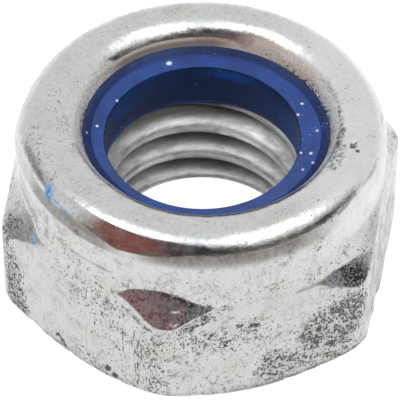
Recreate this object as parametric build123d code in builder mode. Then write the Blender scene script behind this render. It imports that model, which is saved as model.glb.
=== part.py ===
"""Nylon insert lock nut, M6 x 1.

A cold-forged steel hexagon nut whose thin collar is rolled inwards over a
nylon locking ring.  Millimetres, +Z up the thread axis, origin at the centre
of the bearing face, two corners of the hexagon on the X axis.
"""
import os
from math import cos, radians, sin, tan

from build123d import *

# ---- hexagon blank -----------------------------------------------------
across_flats = 10.0
corner_rounding = 0.9         # radius of the six upright edges
hex_height = 4.28             # where the top chamfer meets the collar wall
brow_diameter = 10.2          # break between the steep brow and the corner facets
brow_height = 3.85
facet_angle = 51.0            # degrees, slope of the six corner facets
bearing_diameter = 9.7        # flat ring that the nut clamps with
bottom_chamfer_angle = 40.0   # degrees
trim_margin = 0.1             # how far the turned outline passes the sharp corners

# ---- collar, crimped over the ring -------------------------------------
nut_height = 5.7
collar_diameter = 9.9
collar_wall = 0.75            # thickness beside the ring
lip_diameter = 6.7            # inner side of the rolled bead
lip_toe_diameter = 6.4        # sharp inner edge that bites the ring
lip_toe_angle = 15.0          # degrees, where the toe leaves the bead

# ---- thread and its run-outs -------------------------------------------
thread_minor_diameter = 4.92  # M6 x 1, crest diameter of the nut thread
countersink_diameter = 6.7    # at the bearing face
countersink_angle = 90.0      # degrees, included
runout_depth = 0.25           # 45 degree chamfer under the ring

# ---- nylon locking ring ------------------------------------------------
ring_seat_height = 3.55       # floor of the pocket
ring_thickness = 1.42         # up to the crown that shows inside the lip
ring_bore_diameter = 5.24
ring_crown_diameter = 6.3     # flat crown inside the toe of the lip
crown_step = 0.17             # how deep the lip sinks into the crown
ring_shoulder = 0.35          # rounding of the ring under the bend of the lip
ring_mouth_rounding = 0.18    # where the bolt's end comes through
ring_foot_chamfer = 0.1

# ---- worked out from the sizes above -----------------------------------
flat_radius = across_flats / 2
corner_radius = flat_radius / cos(radians(30))
collar_radius = collar_diameter / 2
pocket_radius = collar_radius - collar_wall
ring_crown_height = ring_seat_height + ring_thickness
ring_clamp_height = ring_crown_height - crown_step
bead_radius = (collar_diameter - lip_diameter) / 4
bead_centre_radius = collar_radius - bead_radius
bead_centre_height = nut_height - bead_radius
trim_radius = corner_radius + trim_margin
facet_drop = (trim_radius - brow_diameter / 2) * tan(radians(facet_angle))
bottom_chamfer_rise = (trim_radius - bearing_diameter / 2) * tan(radians(bottom_chamfer_angle))
minor_radius = thread_minor_diameter / 2
countersink_depth = (countersink_diameter - thread_minor_diameter) / 2 / tan(radians(countersink_angle / 2))

os.makedirs("parts", exist_ok=True)


def bead_point(angle):
    """Point of the rolled bead's section, 0 degrees on its inner side."""
    return (
        bead_centre_radius - bead_radius * cos(radians(angle)),
        bead_centre_height + bead_radius * sin(radians(angle)),
    )


# ---- steel nut: hexagon, collar and rolled lip in one piece --------------
with BuildPart() as nut_body:
    # hexagon blank with rounded upright edges
    with BuildSketch():
        RegularPolygon(corner_radius, 6)
    extrude(amount=hex_height)
    fillet(nut_body.edges().filter_by(Axis.Z), corner_rounding)

    # turned outline: the brow, corner facets and bottom chamfer in one cut
    with BuildSketch(Plane.XZ):
        with BuildLine():
            Polyline(
                (0, 0),
                (bearing_diameter / 2, 0),
                (trim_radius, bottom_chamfer_rise),
                (trim_radius, brow_height - facet_drop),
                (brow_diameter / 2, brow_height),
                (collar_radius, hex_height),
                (0, hex_height),
                close=True,
            )
        make_face()
    revolve(axis=Axis.Z, mode=Mode.INTERSECT)

    # collar wall, rolled bead and its toe
    with BuildSketch(Plane.XZ):
        with BuildLine():
            Polyline(
                (collar_radius, bead_centre_height),
                (collar_radius, ring_seat_height),
                (minor_radius, ring_seat_height),
                (minor_radius, ring_clamp_height),
                (lip_toe_diameter / 2, ring_clamp_height),
                bead_point(lip_toe_angle),
            )
            ThreePointArc(
                bead_point(lip_toe_angle),
                bead_point(90),
                (collar_radius, bead_centre_height),
            )
        make_face()
    revolve(axis=Axis.Z)

    # pocket that the ring fills, rounded under the bend of the lip
    with BuildSketch(Plane.XZ) as pocket_section:
        with Locations((0, ring_seat_height)):
            Rectangle(
                pocket_radius,
                ring_clamp_height - ring_seat_height,
                align=(Align.MIN, Align.MIN),
            )
        outer_corners = pocket_section.vertices().group_by(Axis.X)[-1]
        fillet(outer_corners.sort_by(Axis.Y)[-1], ring_shoulder)
    revolve(axis=Axis.Z, mode=Mode.SUBTRACT)

    # bore at the thread's crest diameter, countersink and run-out chamfer
    with BuildSketch(Plane.XZ):
        with BuildLine():
            Polyline(
                (0, 0),
                (countersink_diameter / 2, 0),
                (minor_radius, countersink_depth),
                (minor_radius, ring_seat_height - runout_depth),
                (minor_radius + runout_depth, ring_seat_height),
                (0, ring_seat_height),
                close=True,
            )
        make_face()
    revolve(axis=Axis.Z, mode=Mode.SUBTRACT)

nut_body.part.label = "nut_body"
export_step(nut_body.part, "parts/nut_body.step")

# ---- nylon ring, held by the rolled lip ----------------------------------
with BuildPart() as nylon_ring:
    with BuildSketch(Plane.XZ) as ring_section:
        with Locations((ring_bore_diameter / 2, ring_seat_height)):
            Rectangle(
                pocket_radius - ring_bore_diameter / 2,
                ring_clamp_height - ring_seat_height,
                align=(Align.MIN, Align.MIN),
            )
            Rectangle(
                (ring_crown_diameter - ring_bore_diameter) / 2,
                ring_thickness,
                align=(Align.MIN, Align.MIN),
            )
        bore_corners = ring_section.vertices().group_by(Axis.X)[0]
        fillet(bore_corners.sort_by(Axis.Y)[-1], ring_mouth_rounding)
        bore_corners = ring_section.vertices().group_by(Axis.X)[0]
        chamfer(bore_corners.sort_by(Axis.Y)[0], ring_foot_chamfer)
        outer_corners = ring_section.vertices().group_by(Axis.X)[-1]
        fillet(outer_corners.sort_by(Axis.Y)[-1], ring_shoulder)
    revolve(axis=Axis.Z)

nylon_ring.part.label = "nylon_ring"
export_step(nylon_ring.part, "parts/nylon_ring.step")
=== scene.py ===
"""Nylon insert lock nut M6 x 1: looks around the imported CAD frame.

Sizes are in millimetres and angles in degrees unless a comment says otherwise;
meshes are written in metres.  A polar angle is measured about the thread axis
from +X.  The nut has corners at 0, 60, 120 ... and flats between.
"""

from math import atan2, cos, pi, radians, sin, tan

import bpy
import numpy as np
from mathutils import Matrix, Vector, noise


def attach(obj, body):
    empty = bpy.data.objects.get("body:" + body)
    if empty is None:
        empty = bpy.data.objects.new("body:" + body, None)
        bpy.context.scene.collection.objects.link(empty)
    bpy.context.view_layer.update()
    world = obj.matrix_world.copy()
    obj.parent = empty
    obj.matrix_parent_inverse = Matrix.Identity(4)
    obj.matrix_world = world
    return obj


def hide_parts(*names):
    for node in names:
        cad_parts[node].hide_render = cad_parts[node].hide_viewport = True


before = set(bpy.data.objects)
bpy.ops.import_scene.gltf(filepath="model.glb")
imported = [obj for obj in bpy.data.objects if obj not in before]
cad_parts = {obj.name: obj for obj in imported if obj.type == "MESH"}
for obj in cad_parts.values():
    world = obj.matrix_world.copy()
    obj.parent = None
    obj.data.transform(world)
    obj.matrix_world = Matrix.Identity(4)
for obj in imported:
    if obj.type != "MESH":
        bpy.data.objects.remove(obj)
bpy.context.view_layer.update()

MM = 0.001
ROUND_STEPS = 464
polar = np.linspace(0.0, 2 * pi, ROUND_STEPS, endpoint=False)  # radians

# ---- nut, as in the CAD source; a pair is a radius and a height ----
FLAT_RADIUS = 5.0
CORNER_ROUNDING = 0.9
HEX_HEIGHT = 4.28
BROW_RADIUS = 5.1
BROW_HEIGHT = 3.85
FACET_ANGLE = 51.0
BEARING_RADIUS = 4.85
BOTTOM_CHAMFER = 40.0
COLLAR_RADIUS = 4.95
BEAD_RADIUS = 0.8
BEAD_CENTRE = (4.15, 4.9)
TOE_ANGLE = 165.0  # on the bead's section, from its outer side
CLAMP_HEIGHT = 4.8
TOE_FOOT = (3.2, CLAMP_HEIGHT)
POCKET_RADIUS = 4.2
SHOULDER = 0.35
SHOULDER_CENTRE = (POCKET_RADIUS - SHOULDER, CLAMP_HEIGHT - SHOULDER)
SEAT_HEIGHT = 3.55
PITCH = 1.0
CREST_RADIUS = 2.46
ROOT_RADIUS = 3.0
RUNOUT = 0.25
COUNTERSINK_RADIUS = 3.35

# ---- ring, as in the CAD source ----
RING_BORE = 2.62
RING_CROWN = 3.15
CROWN_HEIGHT = 4.97
FOOT_CHAMFER = 0.1

# ---- shapes that only this file gives ----
# The groove's root passes this place, and the crests fill the rest of a turn.
GROOVE_POLAR = 70.7
GROOVE_HEIGHT = 1.26
GROOVE_HALF = 0.42  # share of a turn from the root to the crest
CHAMFER_BLEND = 0.08  # rounding where two faces of the steel meet
BROW_BLEND = 0.02
COLLAR_BLEND = 0.04
SINK_BLEND = 0.05
RUNOUT_BLEND = 0.03
COLLAR_FROM = (2.6, 3.2)  # heights between which the collar takes over
# Height of the facets' upper edge, which arches over each corner in view.
BROW_POLARS = (-134.5, -131.0, -126.0, -121.0, -116.0, -111.0, -106.0,
               -92.0, -80.0, -76.0, -70.0, -64.0, -57.0, -50.0, -30.0)
BROW_HEIGHTS = (3.68, 3.9, 3.98, 4.0, 3.92, 3.76, 3.62,
                3.68, 3.5, 3.57, 3.62, 3.64, 3.58, 3.46, 3.72)
BROW_TOP = 3.98  # the same over the corners out of view
BROW_TIP = 3.72
FACET_HALF_WIDTH = 14.0
BROW_STEEP = (BROW_RADIUS - COLLAR_RADIUS) / (HEX_HEIGHT - BROW_HEIGHT)
FACET_FOOT = 3.2  # the facets are hollowed down to here
FACET_HOLLOW = 0.012
# Smooth humps, each by its polar angle, half width and size.
WORN_CORNERS = ((180.0, 24.0, 0.17), (-121.0, 16.0, 0.05), (-65.0, 17.0, 0.045))
LEAN = (-109.0, 75.0, 0.055)  # the lip is rolled further in
CRIMPS = ((168.0, 80.0, 0.14), (-150.0, 52.0, 0.09), (-15.0, 45.0, -0.07))  # its toe alone
CRIMP_WIDTH = 0.65  # how far from the bead's centre the toe moves fully
BULGE = (162.0, 26.0, 0.08)  # the collar swells, between these heights
BULGE_RISE = (4.3, 4.7, 5.1, 5.6)
# Rolling left flats along the bead's outer side: at each polar angle, the
# middle of the flat and half its width, in degrees above level.
FLAT_POLARS = (-178.0, -160.0, -150.0, -142.0, -136.0, -127.0, -120.0, -112.0, -104.0)
FLAT_MIDDLE = (50.0, 46.0, 41.0, 35.0, 31.5, 33.0, 37.0, 39.0, 39.0)
FLAT_HALF = (0.0, 12.0, 17.0, 20.0, 21.5, 17.0, 14.0, 8.0, 0.0)
# A blow left a ledge under the bead: its foot at each polar angle, and its tilt.
LEDGE_POLARS = (-200.0, -178.0, -158.0, -144.0, -134.0, -126.0, -118.0, -110.0)
LEDGE_FOOT = (4.9, 4.86, 4.82, 4.9, 5.02, 5.04, 5.02, 5.02)
LEDGE_TILT = 15.0
# The ring's mouth is highest at this polar angle and falls away round it.
MOUTH_HIGH_SIDE = 70.7
MOUTH_HALF_DROP = 0.085
MOUTH_EDGE = 0.03
CROWN_EDGE = 0.04
CREVICE = (3.17, 4.9)  # narrow groove between the crown and the lip
FRINGE_TOP = (3.335, 5.075)  # how far the nylon is squeezed up the lip's toe
# Unevenness: the size of its lumps, the seed of its noise and its depth.
DENTS = (1.6, 1, 0.016)
SKIN = (0.28, 2, 0.007)
MOULDED_WAVE = (1.1, 4, 0.012)
WEAR_FROM = 3.3  # radius from which the steel is dented,
WEAR_WALL = 4.5  # and the same below the middle of the bead
CHIP_SIZE = 0.9
CHIP_SEED = 6
CHIP_DEPTH = 0.08
CHIP_HEIGHTS = (0.1, 0.7)  # full below the first, none above the second
GAP = 0.01  # margin when rows are picked by height or radius

# ---- rows of each stretch of the sections ----
FLAT_ROWS = 32
FACET_ROWS = 38
FACET_ROWS_FROM = 2.9
COLLAR_ROWS = 11
BEAD_OUTER_ROWS = 40
BEAD_INNER_ROWS = 14
TOE_ROWS = 6
HIDDEN_ROWS = 2
THREAD_ROWS = 54
BEARING_ROWS = 6
RING_BORE_ROWS = 32
RING_EDGE_ROWS = 3
CROWN_ROWS = 20
FRINGE_ROWS = 8
BITE_ROWS = 5
CLAMP_ROWS = 6
RING_SIDE_ROWS = 4
RING_FOOT_ROWS = 8


# ---- shape helpers ----
def soft_min(a, b, width):
    """Lower of a and b, with the crossing rounded over the given width."""
    h = np.clip(0.5 + 0.5 * (b - a) / width, 0.0, 1.0)
    return b * (1 - h) + a * h - width * h * (1 - h)


def soft_max(a, b, width):
    return -soft_min(-np.asarray(a), -np.asarray(b), width)


def rise(value, low, high):
    """0 up to low, 1 from high on, and smooth between them."""
    t = np.clip((value - low) / (high - low), 0.0, 1.0)
    return t * t * (3 - 2 * t)


def fall(value, low, high):
    return 1 - rise(value, low, high)


def band(value, start, full, fading, end):
    """0 up to start, 1 from full to fading, and 0 again from end."""
    return rise(value, start, full) * fall(value, fading, end)


def degrees_from(first):
    """The polar angles in degrees, counted so that the first is the lowest."""
    return (np.degrees(polar) - first) % 360.0 + first


def line(start, end, count):
    """Section points from start to end; the end is left to the next stretch."""
    t = np.linspace(0.0, 1.0, count, endpoint=False)[:, None]
    return np.array(start) * (1 - t) + np.array(end) * t


def arc(centre, radius, first, final, count):
    """Section points round a centre; the final one is left to the next stretch."""
    a = np.radians(np.linspace(first, final, count, endpoint=False))
    return np.stack([centre[0] + radius * np.cos(a), centre[1] + radius * np.sin(a)], 1)


def turned(section):
    """Rows of a plain turned section: radius and height at every polar angle."""
    one = np.ones_like(polar)
    return section[:, :1] * one, section[:, 1:] * one


def cloud(points, size, seed):
    """Smooth noise of about -1 to 1 at each point, with lumps of the given size."""
    octaves = 3
    shift = Vector((seed * 7.3, seed * 3.1, seed * 5.7))
    flat = points.reshape(-1, 3) / size
    values = [noise.fractal(Vector(p) + shift, 1.0, 2.0, octaves) for p in flat.tolist()]
    return np.array(values).reshape(points.shape[:-1])


def uneven(points, size, seed, depth):
    """The same noise, as a depth that is never negative."""
    return (cloud(points, size, seed) * 0.5 + 0.5) * depth


def add_object(name, data):
    made = bpy.data.objects.new(name, data)
    bpy.context.collection.objects.link(made)
    return made


def closed_mesh(name, points):
    """Closed skin through a grid of rows and polar steps, both wrapped round."""
    rows, steps = points.shape[:2]
    index = np.arange(rows * steps).reshape(rows, steps)
    below, beside = np.roll(index, -1, 0), np.roll(index, -1, 1)
    corner = np.roll(below, -1, 1)
    quads = np.stack([index, beside, corner, below], -1).reshape(-1, 4)
    mesh = bpy.data.meshes.new(name)
    mesh.from_pydata((points.reshape(-1, 3) * MM).tolist(), [], quads.tolist())
    mesh.polygons.foreach_set("use_smooth", [True] * len(mesh.polygons))
    mesh.update()
    return add_object(name, mesh)


def mark(piece, name, values):
    """Stores one number a vertex, which the material reads by name."""
    layer = piece.data.attributes.new(name, "FLOAT", "POINT")
    layer.data.foreach_set("value", np.clip(values, 0.0, 1.0).ravel().astype(np.float32))


def spot(angle, radius, height):
    a = radians(angle)
    return np.array([radius * cos(a), radius * sin(a), height])


def near(points, place, size, edge):
    """1 within size of a place, fading to 0 over the edge's share of it."""
    distance = np.linalg.norm(points - spot(*place), axis=-1)
    return fall(distance, size * (1 - edge), size * (1 + edge))


def near_line(points, start, end, width):
    """1 along the run between two places, fading out over its width."""
    a, b = spot(*start), spot(*end)
    t = np.clip(((points - a) @ (b - a)) / max((b - a) @ (b - a), 1e-9), 0.0, 1.0)
    distance = np.linalg.norm(points - (a + t[..., None] * (b - a)), axis=-1)
    return fall(distance, width * 0.5, width * 1.5)


def grid_normals(points):
    along = np.roll(points, -1, 1) - np.roll(points, 1, 1)
    up = np.roll(points, -1, 0) - np.roll(points, 1, 0)
    normal = np.cross(along, up)
    return normal / np.maximum(np.linalg.norm(normal, axis=-1, keepdims=True), 1e-9)


def from_axis(points):
    return np.linalg.norm(points[..., :2], axis=-1)


def as_points(radius, height):
    return np.stack([radius * np.cos(polar), radius * np.sin(polar), height], -1)


# ---- nut section ----
def hexagon_radius():
    """Distance to the hexagon's side at each polar angle, corners rounded."""
    sixth = pi / 3
    off_corner = np.abs((polar + sixth / 2) % sixth - sixth / 2)
    flat = FLAT_RADIUS / np.cos(pi / 6 - off_corner)
    middle = (FLAT_RADIUS - CORNER_ROUNDING) / cos(pi / 6)
    side = np.minimum(middle * np.sin(off_corner), CORNER_ROUNDING)
    rounded = middle * np.cos(off_corner) + np.sqrt(CORNER_ROUNDING**2 - side**2)
    tangent = atan2(CORNER_ROUNDING * sin(pi / 6), middle + CORNER_ROUNDING * cos(pi / 6))
    return np.where(off_corner < tangent, rounded, flat)


def swell(middle, half_width, size):
    """Smooth hump of the given size about a polar angle."""
    off = np.abs((np.degrees(polar) - middle + 180.0) % 360.0 - 180.0)
    return size * fall(off, 0.0, half_width)


def along_left(polars, values):
    """Values given at polar angles from -200 to -100, level beyond them."""
    return np.interp(degrees_from(-230.0), polars, values)


def brow_line():
    """Height of the facets' upper edge at each polar angle."""
    off_corner = np.abs((np.degrees(polar) + 30.0) % 60.0 - 30.0)
    arch = rise(off_corner, 0.0, FACET_HALF_WIDTH)
    plain = BROW_TOP * (1 - arch) + BROW_TIP * arch
    angle = degrees_from(-180.0)
    seen = (angle > BROW_POLARS[0]) & (angle < BROW_POLARS[-1])
    return np.where(seen, np.interp(angle, BROW_POLARS, BROW_HEIGHTS), plain)


def outer_wall():
    """Hexagon with its corner facets and brow, running into the collar above."""
    flat_rows = np.linspace(0.0, FACET_ROWS_FROM, FLAT_ROWS, endpoint=False)
    facet_rows = np.linspace(FACET_ROWS_FROM, HEX_HEIGHT, FACET_ROWS, endpoint=False)
    height = np.concatenate([flat_rows, facet_rows])[:, None]
    brow_height = brow_line()[None, :]
    worn = sum(swell(*corner) for corner in WORN_CORNERS)
    brow_radius = COLLAR_RADIUS + (HEX_HEIGHT - brow_height) * BROW_STEEP - worn
    steep = (brow_radius - COLLAR_RADIUS) / (HEX_HEIGHT - brow_height)
    brow = COLLAR_RADIUS + steep * (HEX_HEIGHT - height)
    share = np.clip((brow_height - height) / (brow_height - FACET_FOOT), 0.0, 1.0)
    facet = brow_radius + (brow_height - height) / tan(radians(FACET_ANGLE))
    facet = facet - FACET_HOLLOW * np.sin(share * pi)
    bottom = BEARING_RADIUS + height / tan(radians(BOTTOM_CHAMFER))
    side = soft_min(hexagon_radius()[None, :], bottom, CHAMFER_BLEND)
    side = soft_min(side, np.where(height > brow_height, brow, facet), BROW_BLEND)
    collar = soft_max(side, COLLAR_RADIUS, COLLAR_BLEND)
    blend = rise(height, *COLLAR_FROM)
    return side * (1 - blend) + collar * blend, height * np.ones_like(polar)


def struck(radius, height):
    """The bead's rows, cut back to the ledge under its left side."""
    tilt, foot = radians(LEDGE_TILT), along_left(LEDGE_POLARS, LEDGE_FOOT)
    over = (radius - COLLAR_RADIUS) * cos(tilt) + (height - foot) * sin(tilt)
    over = np.where(radius > BEAD_CENTRE[0], np.maximum(over, 0.0), 0.0)
    return radius - over * cos(tilt), height - over * sin(tilt)


def bead_rows():
    """Rolled bead: flattened along its outer side, leaning in at the front."""
    angle = np.concatenate([np.linspace(0.0, 90.0, BEAD_OUTER_ROWS, endpoint=False),
                            np.linspace(90.0, TOE_ANGLE, BEAD_INNER_ROWS, endpoint=False)])
    across, up = np.cos(np.radians(angle))[:, None], np.sin(np.radians(angle))[:, None]
    middle = np.radians(along_left(FLAT_POLARS, FLAT_MIDDLE))
    half = np.radians(along_left(FLAT_POLARS, FLAT_HALF))
    over = across * np.cos(middle) + up * np.sin(middle) - np.cos(half)
    over = BEAD_RADIUS * np.where(half > 0, np.maximum(over, 0.0), 0.0)
    inward = np.clip((angle - 90.0) / (TOE_ANGLE - 90.0), 0.0, 1.0)[:, None]
    radius = BEAD_CENTRE[0] + BEAD_RADIUS * across - over * np.cos(middle)
    radius = radius - np.sin(pi * inward) * swell(*LEAN)
    height = BEAD_CENTRE[1] + BEAD_RADIUS * up - over * np.sin(middle)
    return struck(radius, height)


def toe_shift():
    """How far the toe of the lip lies further in at each polar angle."""
    return sum(swell(*place) for place in CRIMPS)


def crimp(radius, height):
    """The share of that shift for a point of the lip, or of the nylon under its toe."""
    inner = rise(BEAD_CENTRE[0] - radius, 0.0, CRIMP_WIDTH)
    return toe_shift() * inner * (height > CLAMP_HEIGHT - GAP)


def thread_rows():
    """Run-out under the pocket, the helical thread and the countersink."""
    height = np.linspace(SEAT_HEIGHT, 0.0, THREAD_ROWS)[:, None]
    turn = (height - GROOVE_HEIGHT) / PITCH - (polar[None, :] - radians(GROOVE_POLAR)) / (2 * pi)
    off_root = np.abs((turn + 0.5) % 1.0 - 0.5)
    thread = ROOT_RADIUS - (ROOT_RADIUS - CREST_RADIUS) * rise(off_root, 0.0, GROOVE_HALF)
    runout = CREST_RADIUS + (height - (SEAT_HEIGHT - RUNOUT))
    radius = soft_max(thread, COUNTERSINK_RADIUS - height, SINK_BLEND)
    radius = soft_max(radius, runout, RUNOUT_BLEND)
    return np.minimum(radius, COUNTERSINK_RADIUS), height * np.ones_like(polar)


def nut_points():
    bead_end = arc(BEAD_CENTRE, BEAD_RADIUS, TOE_ANGLE, TOE_ANGLE, 1)[0]
    pocket_top = (SHOULDER_CENTRE[0], CLAMP_HEIGHT)
    pocket_side = (POCKET_RADIUS, SHOULDER_CENTRE[1])
    pocket_floor = (POCKET_RADIUS, SEAT_HEIGHT)
    seat_edge = (ROOT_RADIUS + 0.05, SEAT_HEIGHT)
    sink_edge = (COUNTERSINK_RADIUS + 0.03, 0.0)
    rows = [
        outer_wall(),
        turned(line((COLLAR_RADIUS, HEX_HEIGHT), (COLLAR_RADIUS, BEAD_CENTRE[1]), COLLAR_ROWS)),
        bead_rows(),
        turned(line(bead_end, TOE_FOOT, TOE_ROWS)),
        turned(line(TOE_FOOT, pocket_top, HIDDEN_ROWS)),
        turned(arc(SHOULDER_CENTRE, SHOULDER, 90.0, 0.0, 2 * HIDDEN_ROWS)),
        turned(line(pocket_side, pocket_floor, HIDDEN_ROWS)),
        turned(line(pocket_floor, seat_edge, HIDDEN_ROWS)),
        thread_rows(),
        turned(line(sink_edge, (BEARING_RADIUS, 0.0), BEARING_ROWS)),
    ]
    radius = np.concatenate([r for r, _ in rows])
    height = np.concatenate([h for _, h in rows])
    fuller = np.where(radius > BEAD_CENTRE[0], band(height, *BULGE_RISE), 0.0)
    radius += swell(*BULGE) * fuller
    radius -= crimp(radius, height)
    return as_points(radius, height)


# ---- marks of use and painted light, as (polar, radius, height) places ----
PITS = [  # place, size, depth
    ((-34.7, 4.13, 5.7), 0.13, 0.06), ((-37.0, 4.3, 5.68), 0.08, 0.04),
    ((-116.5, 5.4, 3.42), 0.2, 0.05),
    ((-138.9, 5.09, 0.49), 0.12, 0.05), ((-136.0, 5.15, 0.37), 0.12, 0.05),
    ((-158.5, 5.05, 0.37), 0.16, 0.06), ((-101.7, 5.11, 2.2), 0.1, 0.03),
    ((-93.4, 5.01, 2.62), 0.1, 0.03),
]
# Each mark is (start, end, width, strength); a spot starts and ends in one place.
MARKS = {"grime": [
    ((-73.4, 5.21, 1.62), (-65.4, 5.47, 2.32), 0.55, 0.98),
    ((-67, 5.43, 1.38), (-61.8, 5.6, 2.42), 0.48, 1.0),
    ((-133.6, 5.28, 3.36), (-123.6, 5.6, 3.04), 0.1, 0.9),
    ((-88, 5.0, 1.25), (-79.7, 5.08, 0.95), 0.3, 0.85),
    ((-90.4, 5.0, 0.77), (-84.5, 5.02, 0.55), 0.24, 0.8),
    ((-179.5, 5.4, 3.28), (-176.6, 5.58, 2.24), 0.34, 0.8),
    ((-176.6, 5.58, 2.24), (-174.6, 5.45, 0.8), 0.4, 0.85),
    ((-122.6, 5.6, 2.6), (-121, 5.62, 0.6), 0.36, 0.45),
    ((-125.5, 5.5, 2.36), (-124.5, 5.54, 1.6), 0.3, 0.45),
    ((-157.4, 5.04, 2.95), (-138.1, 5.11, 2.54), 0.3, 0.24),
    ((-148, 5.0, 3.3), (-134, 5.2, 3.05), 0.3, 0.34),
    ((-101.7, 5.11, 2.2), (-93.4, 5.01, 2.62), 0.45, 0.42),
    ((-113, 5.4, 2.6), (-104, 5.15, 2.2), 0.4, 0.36),
    ((-82, 5.06, 0.72), (-66, 5.45, 0.72), 0.24, 0.75),
    ((-120, 5.5, 3.38), (-112.5, 5.35, 3.52), 0.16, 0.6),
    ((-132, 5.15, 3.86), (-118, 5.15, 3.96), 0.07, 0.75),
    ((-112, 5.2, 3.62), (-106, 5.12, 3.66), 0.09, 0.8),
    ((-113.8, 5.44, 3.14), (-107.6, 5.25, 3.36), 0.17, 1.0),
    ((-107.6, 5.25, 3.36), (-102.5, 5.12, 3.62), 0.11, 0.75),
    ((-38.3, 3.72, 5.58), (-26.5, 3.7, 5.57), 0.16, 0.9),
    ((-26.5, 3.7, 5.57), (-12, 3.66, 5.55), 0.12, 0.8),
    ((-48, 3.95, 5.66), (-38.3, 3.85, 5.62), 0.22, 0.7),
    ((143.7, 3.42, 5.12), (157, 3.44, 5.18), 0.1, 0.5),
    ((157, 3.44, 5.18), (172.5, 3.44, 5.18), 0.1, 0.5),
    ((168, 4.6, 5.55), (190, 4.6, 5.55), 0.32, 0.42),
    ((150, 3.95, 5.68), (176, 3.75, 5.6), 0.26, 0.36),
    ((-158.1, 5.05, 0.8), (-140, 5.1, 0.45), 0.26, 0.45),
], "strokes": [
    ((-145, 5.05, 2.95), (-136, 5.18, 2.6), 0.4, 0.8),
    ((-134, 5.23, 2.9), (-132.8, 5.25, 1.5), 0.3, 1.0),
    ((-127.5, 5.42, 2.6), (-127, 5.42, 0.7), 0.34, 1.0),
    ((-122.5, 5.6, 2.5), (-121.5, 5.62, 0.6), 0.34, 0.8),
    ((-118, 5.6, 2.7), (-104, 5.15, 2.3), 0.4, 0.6),
    ((-100, 5.08, 2.5), (-90, 5.0, 2.6), 0.4, 0.6),
    ((-175, 5.45, 3.2), (-173, 5.45, 1.0), 0.4, 0.8),
], "soot": [
    ((-34.7, 4.13, 5.7), (-34.7, 4.13, 5.7), 0.12, 1.0),
    ((-37, 4.3, 5.68), (-37, 4.3, 5.68), 0.08, 1.0),
    ((-119.5, 5.5, 3.4), (-115, 5.4, 3.46), 0.09, 0.85),
    ((-62.5, 5.34, 3.55), (-54, 5.3, 3.5), 0.18, 0.4),
    ((-113, 5.4, 3.55), (-108.5, 5.25, 3.62), 0.06, 0.62),
    ((-138.9, 5.09, 0.52), (-138.9, 5.09, 0.46), 0.13, 1.0),
    ((-136, 5.15, 0.42), (-136, 5.15, 0.36), 0.12, 1.0),
    ((-159, 5.05, 0.52), (-157, 5.05, 0.36), 0.13, 0.9),
    ((-102.2, 5.12, 2.16), (-101.2, 5.1, 2.24), 0.1, 1.0),
    ((-94.2, 5.01, 2.64), (-92.4, 5.01, 2.6), 0.1, 1.0),
    ((-98.6, 5.05, 2.77), (-96.8, 5.05, 2.72), 0.07, 0.9),
    ((-107.1, 5.24, 2.58), (-106, 5.22, 2.72), 0.07, 0.9),
    ((-132.4, 5.25, 2.87), (-132.8, 5.24, 1.61), 0.028, 0.75),
    ((-136.5, 5.14, 3.18), (-132.4, 5.25, 2.87), 0.028, 0.75),
    ((-143, 5.04, 2.84), (-142.2, 5.05, 2.78), 0.05, 0.8),
    ((-148, 5.0, 2.95), (-141, 5.06, 2.55), 0.02, 0.5),
    ((-127.5, 5.42, 2.3), (-127.5, 5.42, 1.8), 0.028, 0.6),
    ((-71.4, 4.96, 4.55), (-70.6, 4.96, 4.62), 0.05, 0.8),
    ((-144.7, 5.02, 1.54), (-144, 5.02, 1.64), 0.035, 0.7),
], "paint_and_glint": [
    ((-167, 4.8, 5.36), (-165.5, 4.82, 5.3), 0.13, 1.0),
    ((-164.5, 4.83, 5.32), (-154.3, 4.84, 5.26), 0.045, 0.8),
    ((-170, 5.25, 3.62), (-169, 5.22, 3.55), 0.1, 0.9),
    # painted highlight: thin blue line along the right facet's lower edge
    ((-73.5, 5.22, 3.42), (-66, 5.46, 3.26), 0.035, 0.45),
], "calm": [
    ((-169, 5.25, 3.0), (-161, 5.08, 0.8), 0.75, 0.95),
    ((-156, 5.03, 1.7), (-146, 5.01, 1.1), 0.4, 0.6),
    ((-112, 5.35, 3.1), (-104, 5.15, 3.1), 0.3, 0.4),
    ((-92, 5.0, 3.2), (-76, 5.15, 3.1), 0.5, 0.7),
    ((-105, 5.18, 1.6), (-100, 5.08, 1.3), 0.35, 0.5),
], "rust_and_reflection": [
    # red on the corner facets and inside the back of the lip: partly rust, partly painted reflection of
    # the red surroundings
    ((-133, 5.2, 3.66), (-119, 5.52, 3.33), 0.36, 0.95),
    ((-129, 5.12, 3.86), (-114, 5.25, 3.66), 0.15, 0.75),
    ((50, 3.52, 5.34), (72, 3.5, 5.34), 0.17, 0.55),
], "crest_glint": [
    # painted glints on the thread's crests
    ((56, 2.5, 2.74), (33, 2.5, 2.8), 0.17, 1.0),
    ((33, 2.5, 2.8), (20, 2.5, 2.74), 0.12, 0.6),
    ((108, 2.5, 2.84), (90, 2.5, 2.8), 0.14, 0.6),
    ((112, 2.5, 1.86), (92, 2.5, 1.82), 0.16, 0.6),
], "crease": [
    ((-62, 4.85, 5.28), (-40, 4.84, 5.32), 0.05, 0.9),
    ((-40, 4.84, 5.32), (-14, 4.83, 5.33), 0.05, 0.8),
    ((-176, 5.0, 4.22), (-155, 5.0, 4.2), 0.03, 0.9),
    ((-155, 5.0, 4.2), (-138, 5.0, 4.18), 0.03, 0.9),
    ((-159, 4.87, 5.22), (-145, 4.86, 5.17), 0.1, 0.9),
    ((-79.2, 5.09, 3.49), (-72, 5.26, 3.63), 0.07, 0.9),
]}
DUST = [  # crumbs on the ring: polar and radius, size
    ((89.0, 2.91), 0.07), ((154.1, 2.84), 0.035), ((159.6, 3.09), 0.025),
    ((130.8, 2.66), 0.03), ((5.1, 2.95), 0.035), ((-1.6, 2.7), 0.035),
    ((-32.2, 2.7), 0.03), ((-32.3, 2.97), 0.04), ((-38.9, 3.12), 0.035),
    ((-44.8, 2.96), 0.03), ((-16.0, 3.08), 0.03),
]
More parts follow.
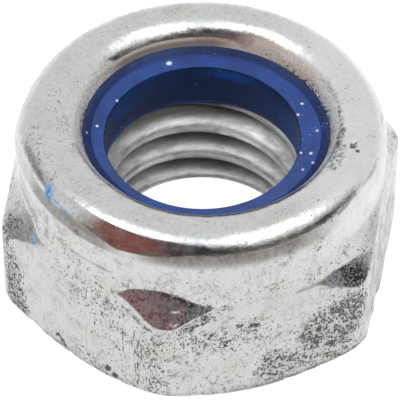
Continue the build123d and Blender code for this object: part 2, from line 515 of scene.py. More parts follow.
PAINTED_GLOW = [  # painted glow, standing in for light through the ring: polar from and to, height, half height, strength
    (22.0, 82.0, 4.76, 0.2, 0.9), (70.0, 150.0, 4.92, 0.06, 0.8),
    (100.0, 165.0, 3.7, 0.2, 0.9), (40.0, 130.0, 3.62, 0.12, 0.8),
    (80.0, 170.0, 4.55, 0.45, 0.6), (-50.0, 50.0, 4.0, 0.7, 1.0),
    (73.6, 76.2, 4.3, 0.06, 1.0),
]
# Bands of polar angles or heights, as band() takes them.
STRIP_ALONG = (-59.0, -52.0, -16.0, -6.0)  # painted shade on the flat at the right end
# painted shade along the bottom edge
EDGE_SHADE_RIGHT = (-104.0, -84.0, -50.0, -35.0)
EDGE_SHADE_LEFT = (-172.0, -160.0, -140.0, -132.0)
# painted reflection inside the lip
LIP_REFLECTION_BACK = (40.0, 70.0, 105.0, 140.0)
LIP_REFLECTION_RIGHT = (-5.0, 20.0, 42.0, 68.0)
CLEAN_RIGHT = (-82.0, -58.0, 20.0, 60.0)
# painted shade and reflection under the bead
BELOW_BEAD_FRONT = (-134.0, -122.0, -84.0, -56.0)
BELOW_BEAD_FRONT_HEIGHTS = (4.76, 5.08, 5.2, 5.3)
BELOW_BEAD_LEFT = (-182.0, -170.0, -144.0, -130.0)
BELOW_BEAD_LEFT_HEIGHTS = (4.84, 4.92, 5.16, 5.3)
# Steps, as rise() and fall() take them, and plain limits.
FACET_SLOPES = (0.42, 0.56)
FACET_HEIGHTS = (3.0, 4.1)
GLEAMING = (-90.0, -30.0)  # the right facet, from and to
DULLED_END = (-69.0, -61.0)
# Painted shade in the thread's bore: the groove, the undersides, under the ring and the lowest turn.
SHADE_DEEP = (CREST_RADIUS + 0.1, ROOT_RADIUS - 0.14)
SHADE_UNDERSIDES = (-0.25, 0.3)
SHADE_LOW = (74.0, 26.0, 0.4)  # polar angle, half width and amount
SHADE_LOW_CLIMB = (0.85, 1.05)
BRIGHT_RIDGE = (3.34, 3.42)
BRIGHT_RIDGE_END = (50.0, 64.0)
UNDER_RING_FROM = (2.97, 3.07)
UNDER_RING_END = (115.0, 150.0)
# the painted shade thins towards these sides
SHADE_THINS_RIGHT = (36.0, 62.0)
SHADE_THINS_LEFT = (86.0, 110.0)
STRIP_THINS = (2.3, 3.1)
STRIP_TOP = 4.2
STRIP_SHADE = 0.36
LIP_REFLECTION_BACK_REACH = (3.4, 3.5)
LIP_REFLECTION_RIGHT_REACH = (3.5, 3.72)
LIP_REFLECTION_TOP = 5.62
BITE_REACH = (3.34, 3.48)
COLLAR_CLEAN = (3.95, 4.35)
BROW_CLEAN = (3.6, 4.0)
BEAD_CLEAN = (4.95, 5.15)
COLLAR_CALM = (3.9, 4.2)
BEAD_CALM = (4.85, 5.05)
FOOT_SHADE = (0.05, 0.6)
# Rough edges of the wider runs: from this width, with these lumps and reach.
ROUGH_FROM = 0.1
ROUGH_SIZE = 0.35
ROUGH_SEED = 3
ROUGH_REACH = 0.07


def wear_nut(points):
    """Dents, chipped edges and pits, always inwards so the nut keeps its box."""
    normal, radius, height = grid_normals(points), from_axis(points), points[..., 2]
    inside_lip = (height < BEAD_CENTRE[1]) & (radius < WEAR_WALL)
    chips = np.maximum(cloud(points, CHIP_SIZE, CHIP_SEED), 0.0) * CHIP_DEPTH
    chips = chips * fall(height, *CHIP_HEIGHTS)
    depth = uneven(points, *DENTS) + uneven(points, *SKIN) + chips
    depth = np.where((radius > WEAR_FROM) & ~inside_lip, depth, 0.0)
    for place, size, deep in PITS:
        depth += near(points, place, size, 0.6) * deep
    return points - normal * depth[..., None]


def facet_fields(points):
    """The corner facets, the right one that gleams, and its dulled end."""
    height, angle = points[..., 2], degrees_from(-90.0)
    facet = rise(grid_normals(points)[..., 2], *FACET_SLOPES)
    facet *= (height > FACET_HEIGHTS[0]) & (height < FACET_HEIGHTS[1])
    gloss = facet * (angle > GLEAMING[0]) * (angle < GLEAMING[1])
    dulled = gloss * fall(angle, *DULLED_END)
    return {"facet": facet, "gloss": gloss, "dulled": dulled}


def run_fields(points, facet):
    """One field for each kind of mark, with rough edges where its runs are wide."""
    rough = points + cloud(points, ROUGH_SIZE, ROUGH_SEED)[..., None] * ROUGH_REACH
    fields = {}
    for name, runs in MARKS.items():
        field = np.zeros(points.shape[:2])
        for start, end, width, strength in runs:
            place = rough if width > ROUGH_FROM else points
            field = np.maximum(field, strength * near_line(place, start, end, width))
        fields[name] = field
    fields["rust_and_reflection"] *= np.maximum(facet, points[..., 2] > BEAD_CENTRE[1])
    fields["calm"] = np.maximum(fields["calm"], calm_field(points))
    return fields


def thread_shade_fields(points):
    """Painted shade in the bore: in the groove, on its undersides, under the ring and on the lowest
    turn, thinner at the sides.
    """
    height, radius, angle = points[..., 2], from_axis(points), degrees_from(-90.0)
    bore = (radius < COUNTERSINK_RADIUS + 0.05) & (height < SEAT_HEIGHT + GAP) & (height > GAP)
    climb = height - (angle - GROOVE_POLAR) / 360.0 * PITCH
    deep = rise(radius, *SHADE_DEEP)
    down = rise(-grid_normals(points)[..., 2], *SHADE_UNDERSIDES)
    low = swell(*SHADE_LOW) * fall(climb, *SHADE_LOW_CLIMB)
    ridge = rise(height, *BRIGHT_RIDGE) * fall(angle, *BRIGHT_RIDGE_END)
    under = rise(np.minimum(height, climb), *UNDER_RING_FROM)
    under = under * (1 - ridge) * fall(angle, *UNDER_RING_END)
    sides = np.maximum(rise(angle, *SHADE_THINS_LEFT), fall(angle, *SHADE_THINS_RIGHT))
    groove = np.maximum.reduce([deep, down, under, low]) * (1 - 0.55 * sides)
    return {"groove": groove * bore, "under": under * bore, "bore": bore * 1.0}


def right_strip_shade(points):
    """Painted shade on the flat at the right end, most of it near the foot."""
    height = points[..., 2]
    along = band(degrees_from(-90.0), *STRIP_ALONG)
    return along * (1 - 0.7 * rise(height, *STRIP_THINS)) * (height < STRIP_TOP)


def edge_shade_field(points):
    """Painted shade along the bottom edge, where it meets the floor, most of it at the front right."""
    angle = degrees_from(-230.0)
    chamfer = (hexagon_radius() - BEARING_RADIUS) * tan(radians(BOTTOM_CHAMFER))
    wavy = 0.2 + 0.13 * cloud(points, 0.7, 8)
    low = fall(points[..., 2] - chamfer, wavy * 0.3, wavy)
    return low * (0.3 + 0.7 * band(angle, *EDGE_SHADE_RIGHT) + 0.3 * band(angle, *EDGE_SHADE_LEFT))


def toe_fields(points):
    """Blunt, dusty zinc on the toe of the lip, and the ragged dirt where it bites."""
    radius, angle = from_axis(points) + toe_shift(), degrees_from(-90.0)
    inner = points[..., 2] > CLAMP_HEIGHT - 0.02
    back = swell(88.0, 72.0, 1.0)
    narrow = rise(back, 0.05, 0.45) * fall(angle, 111.0, 121.0)
    reach = 3.6 - 0.19 * narrow
    ragged = fall(radius, *BITE_REACH) * (1 - 0.85 * rise(back, 0.0, 0.5))
    toe = fall(radius, reach - 0.07, reach + 0.07)
    return {"toe": toe * inner, "bite": ragged * inner}


def lip_reflection_field(points):
    """Painted reflection inside the lip, tan and brown: full at the back, half and broader at the
    right.
    """
    height, angle = points[..., 2], degrees_from(-90.0)
    radius = from_axis(points) + toe_shift()
    back = band(angle, *LIP_REFLECTION_BACK) * fall(radius, *LIP_REFLECTION_BACK_REACH)
    right = band(angle, *LIP_REFLECTION_RIGHT) * fall(radius, *LIP_REFLECTION_RIGHT_REACH)
    inside = (height > CLAMP_HEIGHT - GAP) & (height < LIP_REFLECTION_TOP)
    return np.maximum(back, right * 0.5) * inside


def clean_field(points):
    """Handled surfaces that stay bright, above all the collar at the right."""
    height = points[..., 2]
    right = band(degrees_from(-230.0), *CLEAN_RIGHT) * rise(height, *COLLAR_CLEAN)
    bead, brow = rise(height, *BEAD_CLEAN), rise(height, *BROW_CLEAN)
    return np.maximum.reduce([bead * 0.18, right, brow * 0.2])


def calm_field(points):
    """Where hardly any pepper lies: the bead, and less so the collar wall."""
    bead = rise(points[..., 2], *BEAD_CALM)
    collar = rise(points[..., 2], *COLLAR_CALM)
    return np.maximum(bead * 0.8, collar * 0.45)


def below_bead_shade_field(points):
    """Painted shade and reflection, brown-grey, under the rolled bead: at the front, and on the struck
    ledge.
    """
    height, angle = points[..., 2], degrees_from(-230.0)
    front = band(angle, *BELOW_BEAD_FRONT) * band(height, *BELOW_BEAD_FRONT_HEIGHTS)
    left = band(angle, *BELOW_BEAD_LEFT) * band(height, *BELOW_BEAD_LEFT_HEIGHTS)
    return np.maximum(front, left * 0.9) * (from_axis(points) > BEAD_CENTRE[0])


def add_nut_marks(piece, points):
    """Stores where each kind of wear, dirt and colour lies on the nut, and where shade and reflections
    are painted.
    """
    fields = facet_fields(points)
    fields.update(run_fields(points, fields["facet"]))
    fields.update(thread_shade_fields(points))
    fields.update(toe_fields(points))
    fields["below_bead_shade"] = below_bead_shade_field(points)
    fields["edge"] = edge_shade_field(points)
    fields["lip_reflection"] = lip_reflection_field(points)
    # in the bore this also paints the zinc lighter, standing in for light the bore lacks
    fields["clean"] = np.maximum(clean_field(points), fields["bore"])
    # painted shade: on the flat at the right end, and darker towards the floor
    strip = right_strip_shade(points)
    fields["groove"] = np.maximum(fields["groove"], strip * STRIP_SHADE)
    fields["foot"] = np.maximum(fall(points[..., 2], *FOOT_SHADE), strip)
    for name, values in fields.items():
        mark(piece, name, values)


# ---- ring ----
def mouth_drop(radius, height):
    """How far the ring's mouth lies lower, most of it away from its high side."""
    drop = MOUTH_HALF_DROP * (1 - np.cos(polar - radians(MOUTH_HIGH_SIDE)))
    share = rise(height, SEAT_HEIGHT + 0.2, CROWN_HEIGHT)
    outward = np.clip((radius - RING_BORE) / (RING_CROWN - RING_BORE), 0.0, 1.0)
    return drop * share * (1 - outward)


def ring_points():
    """Ring with a crisp mouth, and a thin fringe squeezed up along the lip's toe."""
    mouth = (RING_BORE, CROWN_HEIGHT - MOUTH_EDGE)
    crown = (RING_BORE + MOUTH_EDGE, CROWN_HEIGHT)
    crown_end = (RING_CROWN - CROWN_EDGE, CROWN_HEIGHT)
    under_toe = (TOE_FOOT[0] + GAP, CLAMP_HEIGHT)
    foot_outside = (POCKET_RADIUS, SEAT_HEIGHT)
    foot_inside = (RING_BORE + FOOT_CHAMFER, SEAT_HEIGHT)
    bore_foot = (RING_BORE, SEAT_HEIGHT + FOOT_CHAMFER)
    radius, height = turned(np.concatenate([
        line(bore_foot, mouth, RING_BORE_ROWS),
        line(mouth, crown, RING_EDGE_ROWS),
        line(crown, crown_end, CROWN_ROWS),
        line(crown_end, CREVICE, RING_EDGE_ROWS),
        line(CREVICE, FRINGE_TOP, FRINGE_ROWS),
        line(FRINGE_TOP, (under_toe[0], CLAMP_HEIGHT + GAP), BITE_ROWS),
        line(under_toe, (SHOULDER_CENTRE[0], CLAMP_HEIGHT), CLAMP_ROWS),
        arc(SHOULDER_CENTRE, SHOULDER, 90.0, 0.0, CLAMP_ROWS),
        line((POCKET_RADIUS, SHOULDER_CENTRE[1]), foot_outside, RING_SIDE_ROWS),
        line(foot_outside, foot_inside, RING_FOOT_ROWS),
        line(foot_inside, bore_foot, RING_SIDE_ROWS),
    ]))
    squeezed = np.clip((radius - RING_BORE - 0.04) / (RING_CROWN - RING_BORE - 0.1), 0.0, 1.0)
    moved_in = crimp(radius, height) * squeezed
    return as_points(radius - moved_in, height - mouth_drop(radius, height))


def wear_ring(points):
    """Slight unevenness of the moulded ring, cut inwards."""
    seen = (from_axis(points) < RING_CROWN - 0.02) & (points[..., 2] > CROWN_HEIGHT - 0.2)
    worn = points.copy()
    worn[..., 2] -= np.where(seen, uneven(points, *MOULDED_WAVE), 0.0)
    return worn


def add_ring_marks(piece, points):
    """Where dust lies; painted glow standing in for light through the nylon round its bore; painted
    shade on the bore wall and in the narrow groove by the lip.
    """
    flat, radius = points * (1.0, 1.0, 0.0), from_axis(points)
    dust, glow = np.zeros(points.shape[:2]), np.zeros(points.shape[:2])
    for (angle, at_radius), size in DUST:
        dust = np.maximum(dust, near(flat, (angle, at_radius, 0.0), size, 0.5))
    for first, last, middle, half, strength in PAINTED_GLOW:
        soft = (last - first) / 2
        along = band(degrees_from(-90.0), first, first + soft, last - soft, last)
        off = np.abs(points[..., 2] - middle)
        glow = np.maximum(glow, strength * along * fall(off, half * 0.3, half * 1.3))
    crown = points[..., 2] > CROWN_HEIGHT - 0.25
    edge = RING_CROWN - toe_shift()
    mark(piece, "dust", dust * crown)
    mark(piece, "dusty", swell(-15.0, 60.0, 1.0) * crown)
    mark(piece, "glow", glow * (radius < RING_BORE + GAP))
    # painted shade in the narrow groove between the crown and the lip
    mark(piece, "crevice_shade", rise(radius, edge - 0.02, edge + 0.02))
    # painted shade on the ring's bore wall
    mark(piece, "wall", fall(radius, RING_BORE + GAP, RING_BORE + 0.03))


# ---- materials ----
class Value:
    """What a node gives, with arithmetic that adds the nodes for it."""

    def __init__(self, nodes, socket):
        self.nodes = nodes
        self.socket = socket

    def __add__(self, other):
        return self.nodes.math("ADD", self, other)

    def __sub__(self, other):
        return self.nodes.math("SUBTRACT", self, other)

    def __mul__(self, other):
        return self.nodes.math("MULTIPLY", self, other)

    def most(self, *others):
        highest = self
        for other in others:
            highest = self.nodes.math("MAXIMUM", highest, other)
        return highest

    def ramp(self, low, high, bottom=0.0, top=1.0):
        """From low to high the value becomes bottom to top, smoothly."""
        names = ("Value", "From Min", "From Max", "To Min", "To Max")
        inputs = dict(zip(names, (self, low, high, bottom, top)))
        return self.nodes.add("ShaderNodeMapRange", inputs, interpolation_type="SMOOTHSTEP")


class Nodes:
    """Node tree of the world or of a material."""

    def __init__(self, data):
        self.data = data
        data.use_nodes = True
        self.tree = data.node_tree
        self.tree.nodes.clear()

    def add(self, kind, inputs, output=0, **settings):
        """Adds a node with the given settings and inputs; gives one of its outputs."""
        made = self.tree.nodes.new(kind)
        for key, value in settings.items():
            setattr(made, key, value)
        for name, value in inputs.items():
            if isinstance(value, Value):
                self.tree.links.new(value.socket, made.inputs[name])
            else:
                made.inputs[name].default_value = value
        return Value(self, made.outputs[output]) if made.outputs else None

    def math(self, operation, a, b, clamp=False):
        return self.add("ShaderNodeMath", {0: a, 1: b}, operation=operation, use_clamp=clamp)

    def finish(self, inputs):
        """Ends a material in a shader with these inputs."""
        surface = self.add("ShaderNodeBsdfPrincipled", inputs)
        self.add("ShaderNodeOutputMaterial", {"Surface": surface})
        return self.data

    def by_ray(self, lighting, seen):
        """One shader for the rays that light, another for those that look or reflect."""
        camera, glossy, through = (
            self.add("ShaderNodeLightPath", {}, f"Is {kind} Ray")
            for kind in ("Camera", "Glossy", "Transmission")
        )
        return self.add("ShaderNodeMixShader", {0: camera.most(glossy, through), 1: lighting, 2: seen})


class Material(Nodes):
    """Material of a piece, made of noise in millimetres and of the stored marks."""

    def __init__(self, name, colour):
        super().__init__(bpy.data.materials.new(name))
        self.data.diffuse_color = (*colour, 1.0)
        place = self.add("ShaderNodeTexCoord", {}, "Object")
        self.place = self.scaled(place, (1 / MM, 1 / MM, 1 / MM))

    def scaled(self, vector, factors):
        return self.add("ShaderNodeVectorMath", {0: vector, 1: factors}, operation="MULTIPLY")

    def noise(self, size, detail, rough, stretch=(1.0, 1.0, 1.0), twist=0.0):
        """Noise with lumps of the given size, stretched along an axis if asked."""
        vector = self.scaled(self.place, stretch)
        inputs = {"Vector": vector, "Scale": 1 / size, "Detail": detail, "Roughness": rough}
        return self.add("ShaderNodeTexNoise", {**inputs, "Distortion": twist})

    def hairs(self, size, width, stretch):
        """1 on thin wandering lines, where a noise of the given size crosses its middle."""
        off = self.noise(size, 2.0, 0.6, stretch, twist=0.8) - 0.5
        return self.math("ABSOLUTE", off, 0.0).ramp(width * 0.4, width, 1.0, 0.0)

    def stored(self, name):
        return self.add("ShaderNodeAttribute", {}, "Fac", attribute_name=name)

    def mix(self, amount, first, second):
        """From the first colour at 0 to the second at 1."""
        a, b = (c if isinstance(c, Value) else (*c, 1.0) for c in (first, second))
        return self.add("ShaderNodeMix", {"Factor": amount, "A": a, "B": b}, "Result", data_type="RGBA")

    def coat(self, tone, *layers):
        """Lays colours over a tone, one after the other, each by its amount."""
        for amount, colour in layers:
            tone = self.mix(amount, tone, colour)
        return tone

    def bump(self, height, distance):
        return self.add("ShaderNodeBump", {"Height": height, "Distance": distance * MM})


# Colours of the steel: its bare zinc, then what lies on it, and painted shade, reflections and glints.
ZINC_COOL = (0.558, 0.569, 0.58)
ZINC_CREAM = (0.564, 0.561, 0.543)
ZINC_GREY = (0.42, 0.42, 0.41)
ZINC_BRUSHED = (0.33, 0.33, 0.325)
ZINC_DULL = (0.26, 0.26, 0.25)
ZINC_CLEAN = (0.8, 0.815, 0.825)
CREST_GLINT_WHITE = (0.93, 0.94, 0.94)
GRIT = (0.22, 0.22, 0.215)
FOOT_SHADE_GREY = (0.24, 0.24, 0.235)
EDGE_SHADE_BLACK = (0.1, 0.1, 0.098)
BELOW_BEAD_BROWN = (0.22, 0.205, 0.185)
TOE_ZINC = (0.6, 0.6, 0.585)
TOE_SPECKS = (0.22, 0.21, 0.2)
LIP_REFLECTION_TAN = (0.5, 0.43, 0.365)
LIP_REFLECTION_BROWN = (0.205, 0.172, 0.152)
RED_RUST_AND_REFLECTION = (0.2, 0.055, 0.062)
GRIME = (0.2, 0.197, 0.185)
BORE_RINGS = (0.24, 0.235, 0.2)
GROOVE_SHADE = (0.165, 0.17, 0.16)
UNDER_RING_SHADE = (0.05, 0.052, 0.048)
CREASE = (0.16, 0.155, 0.14)
FACET_FLECKS = (0.3, 0.29, 0.29)
FACET_DUST = (0.27, 0.258, 0.238)
SOOT = (0.04, 0.038, 0.036)
PAINT_AND_GLINT_BLUE = (0.06, 0.24, 0.55)


def steel_dirt(m, grime, grain, patches):
    """0 on bare zinc to 1 on black: pepper, strokes and clumps of dirt in the pores."""
    strokes = m.stored("strokes")
    clusters = m.noise(0.55, 5.0, 0.72)
    fine = m.noise(0.06, 2.0, 0.55)
    streak = m.noise(0.06, 3.0, 0.6, stretch=(1.0, 1.0, 0.2))
    speck = fine * 0.5 + grain * 0.5
    clean = m.math("SUBTRACT", m.stored("clean").most(m.stored("calm")), grime, clamp=True)
    crowd = clusters.ramp(0.48, 0.62) * patches.ramp(0.44, 0.6, 0.0, 0.105)
    crowd = crowd + grime * 0.1 + strokes * 0.02 + m.stored("bite") * 0.26 - clean * 0.055
    pepper = (fine + crowd).ramp(0.685, 0.73, 0.0, 0.95)
    dashes = (streak + crowd * 0.42 + strokes * 0.08).ramp(0.695, 0.735, 0.0, 0.95)
    hairs = m.hairs(0.62, 0.022, (1.0, 1.0, 1.25)) * clusters.ramp(0.49, 0.56)
    hairs = hairs * strokes.ramp(0.0, 1.0, 0.42, 0.95) * clean.ramp(0.0, 1.0, 1.0, 0.0)
    clumps = (speck + (grime - clean) * 0.11).ramp(0.595, 0.645, 0.0, 0.92)
    ragged = (m.stored("soot") + (speck - 0.5) * 2.6).ramp(0.5, 0.72, 0.0, 0.95)
    outside = m.stored("bore").ramp(0.0, 0.5, 1.0, 0.0)
    return pepper.most(dashes, hairs, clumps, ragged) * outside


def bare_zinc(m, grain, mottle, patches, brushed):
    """Pale zinc with greyer and creamier areas, brushed streaks and grit."""
    grit = m.noise(0.055, 2.0, 0.6).ramp(0.5, 0.68, 0.0, 0.5)
    return m.coat(
        m.mix(patches.ramp(0.36, 0.64), ZINC_COOL, ZINC_CREAM),
        (mottle.ramp(0.48, 0.68, 0.0, 0.38), ZINC_GREY),
        (brushed.ramp(0.5, 0.68, 0.0, 0.38), ZINC_BRUSHED),
        (grain.ramp(0.54, 0.7, 0.0, 0.3), ZINC_DULL),
        (grit * patches.ramp(0.45, 0.62, 0.05, 0.9), GRIT),
        # lighter zinc where clean; in the bore it is painted light
        (m.stored("clean") * 0.4, ZINC_CLEAN),
    )


def outer_tone(m, grime, grain, mottle, patches):
    """Colour of the nut's outside with its painted shade and reflections, and how much grime lies on
    it.
    """
    brushed = m.noise(0.1, 4.0, 0.65, stretch=(0.8, 0.8, 0.3))
    specks = m.noise(0.055, 2.0, 0.6).ramp(0.46, 0.62, 0.0, 0.6)
    toe, lip_reflection = m.stored("toe"), m.stored("lip_reflection")
    dirt = grime.ramp(0.35, 1.0) * grain.ramp(0.4, 0.6, 0.1, 0.8)
    tone = m.coat(
        bare_zinc(m, grain, mottle, patches, brushed),
        # painted shade, darker towards the floor
        (m.stored("foot") * mottle.ramp(0.4, 0.6, 0.35, 0.8), FOOT_SHADE_GREY),
        # painted shade along the bottom edge
        (m.stored("edge") * grain.ramp(0.38, 0.56, 0.45, 1.0), EDGE_SHADE_BLACK),
        # painted shade and reflection under the bead
        (m.stored("below_bead_shade") * brushed.ramp(0.35, 0.6, 1.0, 0.75), BELOW_BEAD_BROWN),
        (toe * 0.9, TOE_ZINC),
        # painted reflection inside the lip, tan and brown
        (lip_reflection.ramp(0.0, 0.5, 0.0, 0.85), LIP_REFLECTION_TAN),
        (lip_reflection.ramp(0.5, 1.0, 0.0, 0.95), LIP_REFLECTION_BROWN),
        (toe * specks, TOE_SPECKS),
        # red: partly rust, partly painted reflection
        (m.stored("rust_and_reflection") * grain.ramp(0.36, 0.56, 1.0, 0.62), RED_RUST_AND_REFLECTION),
        (dirt, GRIME),
    )
    return tone, dirt


def bore_tone(m, tone, bore):
    """Turned rings in the threaded bore, painted shade in its groove and under the ring, and painted
    glints on its crests.
    """
    rings = m.noise(0.12, 3.0, 0.6, stretch=(0.22, 0.22, 1.0))
    return m.coat(
        tone,
        (bore * rings.ramp(0.44, 0.64, 0.0, 0.5), BORE_RINGS),
        # painted shade in the groove, on the undersides and under the ring
        (m.stored("groove") * 0.86, GROOVE_SHADE),
        (m.stored("under") * 0.6, UNDER_RING_SHADE),
        # painted glints on the crests
        (m.stored("crest_glint") * rings.ramp(0.4, 0.6, 1.0, 0.55) * 0.85, CREST_GLINT_WHITE),
    )


def facet_tone(m, tone, gloss):
    """Flecks on the corner facets, and dust on the dulled end of the right one."""
    crumbs = m.noise(0.07, 3.0, 0.65)
    sparse = gloss * -0.085 + 0.63
    flecks = m.stored("facet") * crumbs.ramp(sparse, sparse + 0.1)
    dusty = m.stored("dulled") * crumbs.ramp(0.43, 0.55, 0.3, 1.0)
    tone = m.coat(tone, (flecks, FACET_FLECKS), (dusty, FACET_DUST))
    return tone, (flecks * 0.75).most(dusty)


def zinc_steel():
    """Zinc-plated steel, worn: mottled tone, pepper of black specks, grime, blue-painted dabs; painted
    shade, reflections and glints where the marks ask.
    """
    m = Material("zinc_steel", (0.7, 0.71, 0.72))
    grime, bore, gloss = m.stored("grime"), m.stored("bore"), m.stored("gloss")
    mottle = m.noise(0.55, 5.0, 0.65)
    grain = m.noise(0.12, 4.0, 0.65)
    patches = m.noise(0.95, 4.0, 0.65)
    black = steel_dirt(m, grime, grain, patches)
    paint_and_glint = m.stored("paint_and_glint") * grain.ramp(0.38, 0.5)
    tone, dirt = outer_tone(m, grime, grain, mottle, patches)
    tone = m.coat(bore_tone(m, tone, bore), (m.stored("crease") * 0.6, CREASE))
    tone, facet_dull = facet_tone(m, tone, gloss)
    cover = black.most(paint_and_glint)
    dull = cover.most(facet_dull, bore * 0.6, m.stored("rust_and_reflection") * 0.55, m.stored("toe") * 0.95,
                      m.stored("lip_reflection").ramp(0.0, 0.5, 0.0, 0.8))
    rough = mottle.ramp(0.3, 0.7, 0.15, 0.3) - gloss.ramp(0.0, 1.0, 0.0, 0.1)
    rough = rough + cover.most(dirt) * 0.3 + m.stored("below_bead_shade") * 0.16 + bore * 0.2
    return m.finish({
        "Base Color": m.coat(tone, (black, SOOT), (paint_and_glint, PAINT_AND_GLINT_BLUE)),
        "Metallic": dull.ramp(0.0, 1.0, 1.0, 0.1),
        "Roughness": rough,
        "Normal": m.bump(grain * 0.6 + mottle * 0.6 - black * 0.5, 0.011),
    })


# Colours of the nylon, with its painted shade and glow.
NYLON_DARK = (0.008, 0.034, 0.17)
NYLON_LIGHT = (0.014, 0.054, 0.245)
NYLON_WALL_SHADE = (0.001, 0.011, 0.05)
NYLON_PAINTED_GLOW = (0.002, 0.055, 0.27)
NYLON_CREVICE_SHADE = (0.006, 0.01, 0.04)
DUST_GREY = (0.72, 0.74, 0.8)


def blue_nylon():
    """Moulded blue nylon with a satin skin, fine dust and a few larger crumbs; painted shade on the
    bore wall and by the lip, and a painted glow on the wall.
    """
    m = Material("blue_nylon", (0.05, 0.1, 0.42))
    wall = m.stored("wall")
    cloudy = m.noise(0.9, 3.0, 0.5)
    fine = m.noise(0.06, 3.0, 0.6)
    specks = m.noise(0.05, 1.0, 0.5) + m.stored("dusty") * 0.07
    dust = m.stored("dust").most(specks.ramp(0.76, 0.82, 0.0, 0.55))
    tone = m.coat(
        m.mix(cloudy.ramp(0.35, 0.65), NYLON_DARK, NYLON_LIGHT),
        # painted shade on the bore wall
        (wall * 0.95, NYLON_WALL_SHADE),
        # painted glow
        (m.stored("glow") * cloudy.ramp(0.3, 0.6, 0.45, 1.0), NYLON_PAINTED_GLOW),
        # painted shade by the lip
        (m.stored("crevice_shade") * fine.ramp(0.35, 0.6, 0.8, 0.45), NYLON_CREVICE_SHADE),
        (dust, DUST_GREY),
    )
    return m.finish({
        "Base Color": tone,
        "Subsurface Weight": 0.06,
        "Subsurface Radius": (0.1, 0.2, 1.0),
        "Subsurface Scale": 0.3 * MM,
        "Specular IOR Level": wall.ramp(0.0, 1.0, 0.35, 0.12),
        "Roughness": fine.ramp(0.3, 0.7, 0.3, 0.46),
        "Normal": m.bump(fine + cloudy * 1.5, 0.006),
    })


# ---- studio ----
CAMERA_AZIMUTH = -19.32
CAMERA_ELEVATION = 45.0
CAMERA_DISTANCE = 107.35
CAMERA_TARGET_HEIGHT = 3.0
CAMERA_ROLL = 0.288
FRAME_PIXELS = 400
FOCAL_PIXELS = 3961.8
AXIS_PIXEL = (202.035, 186.108)  # where the nut's axis target falls in the frame
SENSOR_WIDTH = 36.0
CLIP_NEAR = 0.01  # metres
CLIP_FAR = 10.0


def camera_axes():
    a, e, roll = radians(CAMERA_AZIMUTH), radians(CAMERA_ELEVATION), radians(CAMERA_ROLL)
    back = Vector((sin(a) * cos(e), -cos(a) * cos(e), sin(e)))
    right = Vector((cos(a), sin(a), 0.0))
    up = back.cross(right)
    return cos(roll) * right + sin(roll) * up, cos(roll) * up - sin(roll) * right, back


def add_camera():
    right, up, back = camera_axes()
    place = back * CAMERA_DISTANCE + Vector((0, 0, CAMERA_TARGET_HEIGHT))
    middle = FRAME_PIXELS / 2
    aim = -back * FOCAL_PIXELS
    aim += right * (middle - AXIS_PIXEL[0]) - up * (middle - AXIS_PIXEL[1])
    away = -aim.normalized()
    level = (right - away * right.dot(away)).normalized()
    turn = Matrix((level, away.cross(level), away)).transposed()
    data = bpy.data.cameras.new("camera")
    data.sensor_width = SENSOR_WIDTH
    data.lens = SENSOR_WIDTH * FOCAL_PIXELS / FRAME_PIXELS
    data.clip_start, data.clip_end = CLIP_NEAR, CLIP_FAR
    camera = add_object("camera", data)
    camera.matrix_world = Matrix.Translation(place * MM) @ turn.to_4x4()
    bpy.context.scene.camera = camera


def studio(bearing, elevation, distance):
    """Place in metres; bearing 0 is beyond the nut as first seen, 90 to its right."""
    a = radians(90.0 + CAMERA_AZIMUTH - bearing)
    e = radians(elevation)
    return Vector((cos(a) * cos(e), sin(a) * cos(e), sin(e))) * distance


WHITE = (1, 1, 1, 1)
WORLD_LIGHT = 0.8  # strength of the white surroundings, for the rays that light
WORLD_SEEN = 1.0  # and for the rays that look
FLOOR_SIDE = 3.0  # metres
FLOOR_GAP = 0.005  # mm, so that the floor doesn't lie in the bearing face
FLOOR_BOUNCE = (0.55, 0.55, 0.55, 1)
FLOOR_SHADE = (0.22, 0.22, 0.22, 1)
FLOOR_GLOW = 0.97
CARD_ROUGHNESS = 0.9
CARD_STEPS = (12, 8)  # across and up
CARDS = [  # name, bearings, elevations, distance in metres, colour
    ("card_camera", (163.0, 201.0), (17.0, 54.0), 0.36, (0.012, 0.012, 0.02)),
    ("card_camera_low", (150.0, 198.0), (4.0, 18.0), 0.365, (0.17, 0.155, 0.135)),
    ("card_left", (200.0, 246.0), (25.0, 57.0), 0.37, (0.15, 0.07, 0.078)),
    ("card_left_low", (197.0, 246.0), (2.0, 26.0), 0.375, (0.42, 0.115, 0.085)),
    ("card_right", (149.0, 164.0), (7.0, 42.0), 0.37, (0.09, 0.08, 0.075)),
    ("card_low_right", (112.0, 150.0), (6.0, 30.0), 0.375, (0.18, 0.165, 0.15)),
    ("card_far_right", (84.0, 113.0), (6.0, 28.0), 0.38, (0.03, 0.034, 0.046)),
    ("card_far_left", (272.0, 302.0), (4.0, 22.0), 0.38, (0.22, 0.21, 0.2)),
    ("card_high", (175.0, 189.0), (56.0, 82.0), 0.3, (0.26, 0.27, 0.31)),
]
LAMPS = [  # name, bearing, elevation, distance, width and height in metres, watts
    ("lamp_left", 232.0, 60.0, 0.5, 0.42, 0.28, 0.76),
    ("lamp_right", 130.0, 60.0, 0.5, 0.42, 0.28, 0.62),
]
HEART = Vector((0.0, 0.0, 3.0 * MM))  # metres


def add_world():
    world = Nodes(bpy.data.worlds.new("studio"))
    bpy.context.scene.world = world.data
    soft, white = (
        world.add("ShaderNodeBackground", {"Color": WHITE, "Strength": strength})
        for strength in (WORLD_LIGHT, WORLD_SEEN)
    )
    world.add("ShaderNodeOutputWorld", {"Surface": world.by_ray(soft, white)})


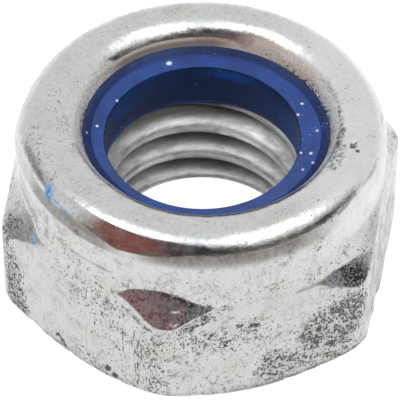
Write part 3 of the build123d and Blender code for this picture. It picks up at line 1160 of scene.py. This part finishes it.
def floor_material():
    """White floor that still takes the nut's shadow."""
    floor = Nodes(bpy.data.materials.new("floor_white"))
    bounce = floor.add("ShaderNodeBsdfDiffuse", {"Color": FLOOR_BOUNCE})
    shade = floor.add("ShaderNodeBsdfDiffuse", {"Color": FLOOR_SHADE})
    glow = floor.add("ShaderNodeEmission", {"Strength": FLOOR_GLOW})
    both = floor.add("ShaderNodeAddShader", {0: glow, 1: shade})
    floor.add("ShaderNodeOutputMaterial", {"Surface": floor.by_ray(bounce, both)})
    return floor.data


def card_material(name, colour):
    card = Nodes(bpy.data.materials.new(name))
    return card.finish({"Base Color": (*colour, 1.0), "Roughness": CARD_ROUGHNESS})


def add_sheet(name, corners, faces, material):
    """One-sided sheet of the studio, through corners in metres."""
    mesh = bpy.data.meshes.new(name)
    mesh.from_pydata(corners, [], faces)
    mesh.materials.append(material)
    sheet = add_object(name, mesh)
    return sheet


def add_floor():
    half = FLOOR_SIDE / 2
    corners = [(-half, -half, 0), (half, -half, 0), (half, half, 0), (-half, half, 0)]
    floor = add_sheet("floor", corners, [(0, 1, 2, 3)], floor_material())
    floor.matrix_world = Matrix.Translation((0.0, 0.0, -FLOOR_GAP * MM))


def add_card(name, bearings, elevations, distance, colour):
    """Card bent round the nut between two bearings and two elevations."""
    columns, rows = CARD_STEPS
    across, up = np.linspace(*bearings, columns + 1), np.linspace(*elevations, rows + 1)
    corners = [studio(bearing, elevation, distance) for elevation in up for bearing in across]
    index = np.arange(len(corners)).reshape(rows + 1, columns + 1)
    faces = np.stack([index[:-1, :-1], index[:-1, 1:], index[1:, 1:], index[1:, :-1]], -1)
    card = add_sheet(name, corners, faces.reshape(-1, 4).tolist(), card_material(name, colour))
    card.visible_camera = card.visible_diffuse = card.visible_shadow = False


def add_lamp(name, bearing, elevation, distance, width, height, watts):
    data = bpy.data.lights.new(name, "AREA")
    data.shape, data.energy = "RECTANGLE", watts
    data.size, data.size_y = width, height
    lamp = add_object(name, data)
    place = studio(bearing, elevation, distance)
    turn = (place - HEART).to_track_quat("Z", "Y").to_matrix().to_4x4()
    lamp.matrix_world = Matrix.Translation(place) @ turn
    lamp.visible_camera = False


def add_studio():
    add_world()
    add_floor()
    for card in CARDS:
        add_card(*card)
    for lamp in LAMPS:
        add_lamp(*lamp)


# ---- the two pieces ----
def dress(piece, node, material):
    piece.data.materials.append(material)
    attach(piece, "root")
    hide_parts(node)


def add_nut():
    points = wear_nut(nut_points())
    piece = closed_mesh("locking_nut_steel", points)
    add_nut_marks(piece, points)
    dress(piece, "nut_body", zinc_steel())


def add_ring():
    points = wear_ring(ring_points())
    piece = closed_mesh("locking_ring_nylon", points[::-1])
    add_ring_marks(piece, points[::-1])
    dress(piece, "nylon_ring", blue_nylon())


bpy.context.scene.view_settings.view_transform = "Standard"
add_studio()
add_camera()
add_nut()
add_ring()
